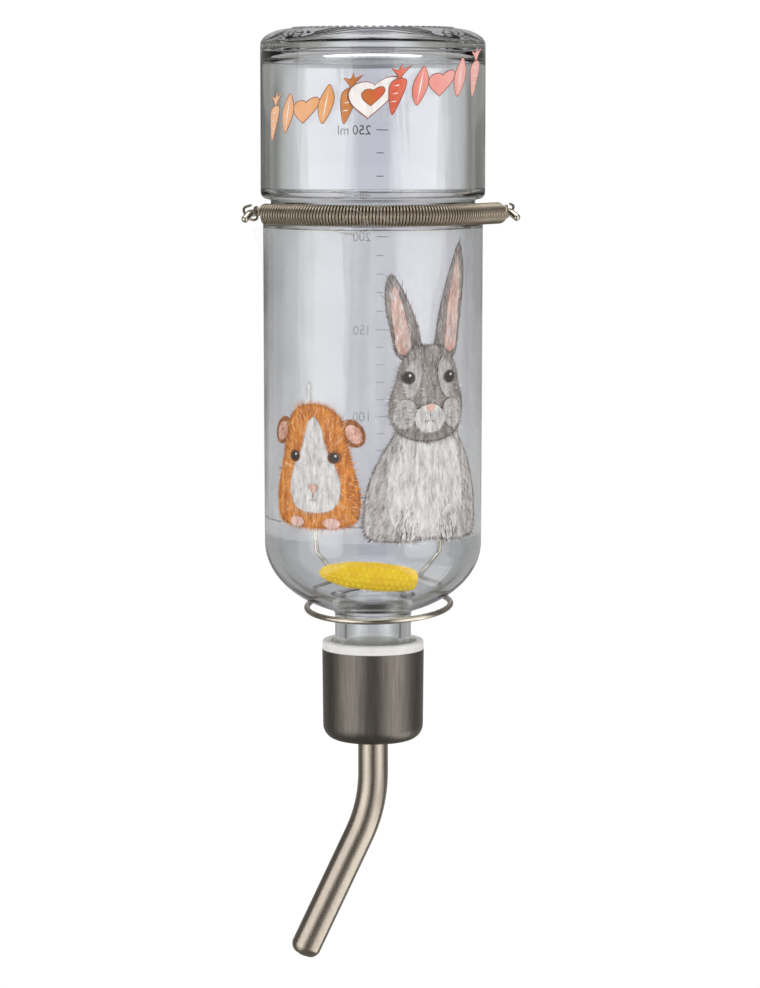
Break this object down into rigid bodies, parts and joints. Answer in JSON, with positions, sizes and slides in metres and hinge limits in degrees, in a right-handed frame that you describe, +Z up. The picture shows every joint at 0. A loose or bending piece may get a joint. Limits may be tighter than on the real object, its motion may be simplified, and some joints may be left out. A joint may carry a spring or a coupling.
{
  "type": "rabbit water bottle",
  "caption": "Hanging glass drinker for rabbits: an upturned bottle in a wire bracket, a coil spring round its groove, a steel cap and a bent ball-valve tube.",
  "frame": {"origin": "middle of the line between the two seats of the bracket's cage hooks, on the underside of the hooks' tops", "axes": "+Z up, -Y the front of the drinker, +Y the cage wall behind it, +X to the right seen from the front"},
  "size_m": [0.0716, 0.0711, 0.2455],
  "materials": {
    "clear_glass": "clear, slightly grey-green at its edges",
    "clear_film": "clear self-adhesive film",
    "yellow_plastic": "moulded, satin",
    "brushed_steel": "drawn stainless steel, satin",
    "white_plastic": "moulded, matt",
    "rubber": "matt",
    "tube_steel": "polished stainless steel",
    "ball_steel": "polished",
    "spring_steel": "bright drawn wire",
    "wire_steel": "bright plated wire"
  },
  "bodies": {
    "bracket": {"hanging_bracket": "wire_steel"},
    "bottle": {"glass_bottle": "clear_glass", "label_film": "clear_film"},
    "clamp": {"groove_yoke": "wire_steel", "front_spring": "spring_steel"},
    "washer": {"sealing_washer": "rubber"},
    "cap": {"cap_shell": "brushed_steel", "cap_insert": "white_plastic", "tube_seal": "rubber", "drinking_tube": "tube_steel"},
    "first_ball": {"lower_ball": "ball_steel"},
    "second_ball": {"upper_ball": "ball_steel"},
    "float": {"level_float": "yellow_plastic"}
  },
  "joints": [
    {"name": "bottle_lift", "type": "slide", "parent": "bracket", "child": "bottle", "axis": [0, 0, 1], "range_m": [0, 0.04]},
    {"name": "clamp_swivel", "type": "hinge", "parent": "bottle", "child": "clamp", "pos_m": [-0.0015, -0.03, 0.04875], "axis": [0, 0, 1], "continuous": true},
    {"name": "cap_travel", "type": "slide", "parent": "bottle", "child": "washer", "axis": [0, 0, -1], "range_m": [0, 0.009]},
    {"name": "cap_unscrew", "type": "hinge", "parent": "washer", "child": "cap", "pos_m": [-0.0015, -0.03, -0.07375], "axis": [0, 0, -1], "range_deg": [0, 1080]},
    {"name": "lower_ball_push", "type": "slide", "parent": "cap", "child": "first_ball", "axis": [0.4226, 0, 0.9063], "range_m": [0, 0.0015]},
    {"name": "upper_ball_push", "type": "slide", "parent": "cap", "child": "second_ball", "axis": [0.4226, 0, 0.9063], "range_m": [0, 0.0015]},
    {"name": "float_rise", "type": "slide", "parent": "bottle", "child": "float", "axis": [0, 0, 1], "range_m": [0, 0.125]}
  ],
  "couplings": [
    {"joint": "cap_travel", "follows": "cap_unscrew", "m_per_rad": 0.00047746},
    {"joint": "upper_ball_push", "follows": "lower_ball_push", "ratio": 1}
  ]
}
